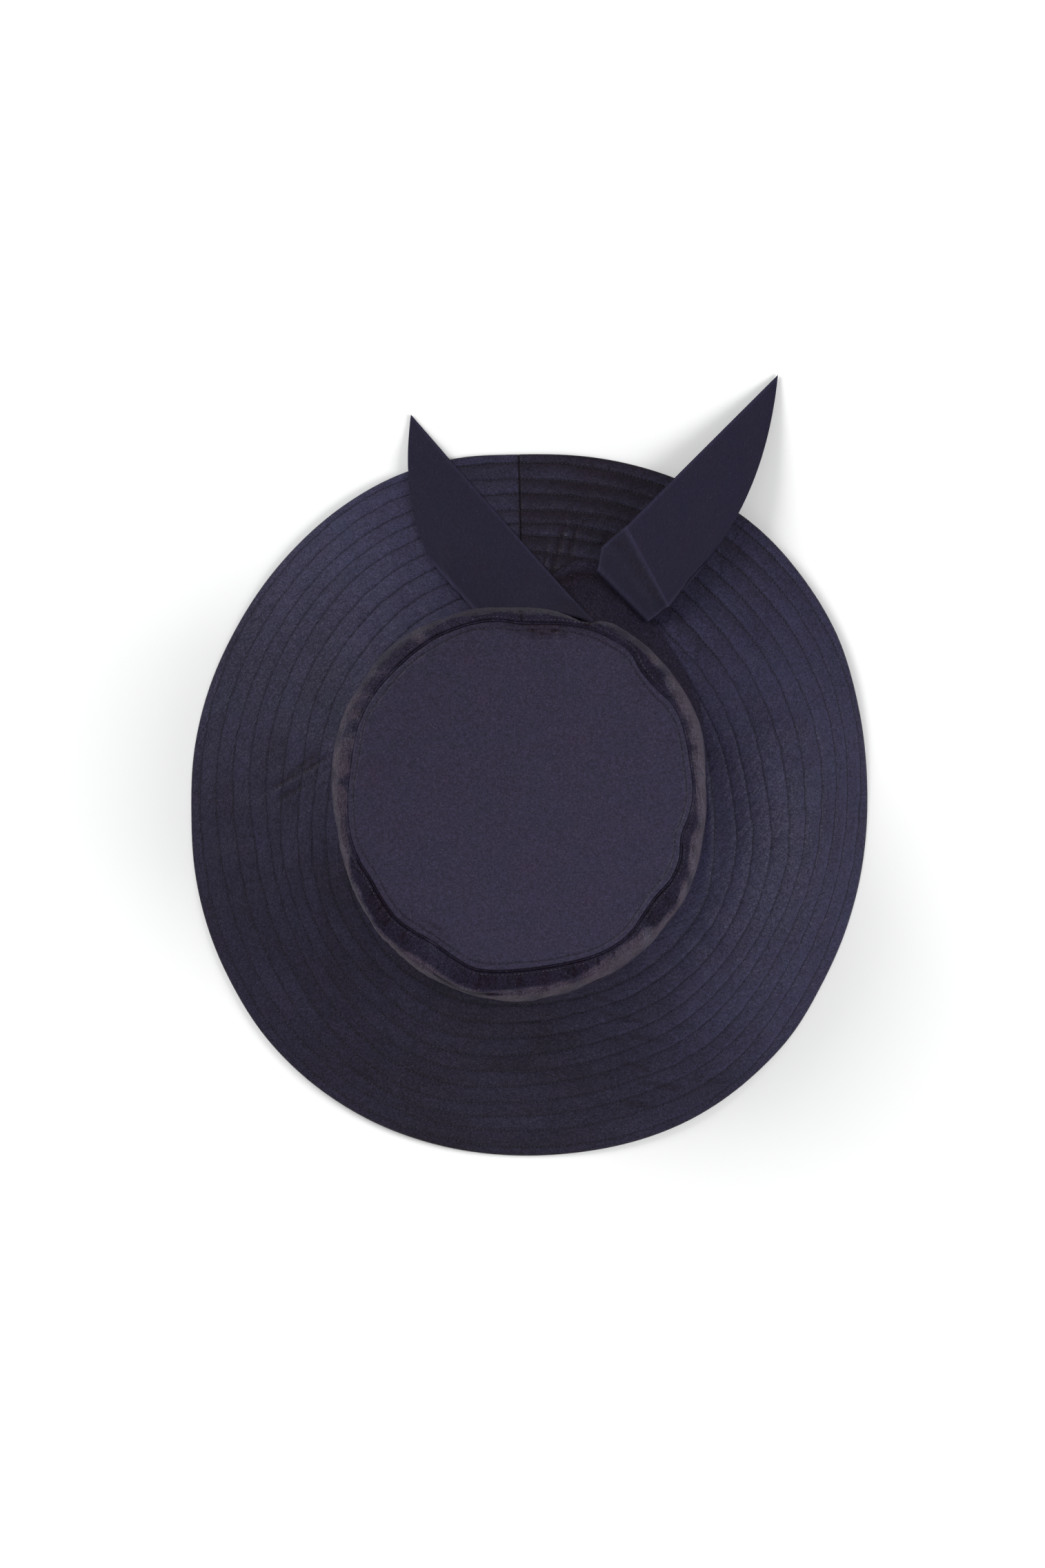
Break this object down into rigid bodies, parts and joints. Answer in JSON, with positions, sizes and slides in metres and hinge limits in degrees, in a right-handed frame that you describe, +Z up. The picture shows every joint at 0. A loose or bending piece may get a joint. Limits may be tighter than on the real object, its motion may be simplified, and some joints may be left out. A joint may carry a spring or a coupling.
{
  "type": "sun hat",
  "caption": "Wide-brimmed soft sun hat: flat-topped hollow crown, sloping topstitched brim, cloth sash round the crown with two pointed tails.",
  "frame": {"origin": "on the surface that the brim rests on, straight under the middle of the head opening", "axes": "+Z up towards the crown's flat top, +Y towards the back seam, +X to the hat's right as seen from above with the back seam away from the viewer"},
  "size_m": [0.3532, 0.406, 0.1246],
  "materials": {
    "brim_cloth": "satin",
    "crown_cloth": "satin",
    "tie_cloth": "satin"
  },
  "bodies": {
    "root": {"brim": "brim_cloth", "crown_side": "crown_cloth", "crown_tip": "crown_cloth", "sash": "tie_cloth", "left_tail": "tie_cloth", "right_tail": "tie_cloth"}
  },
  "joints": []
}
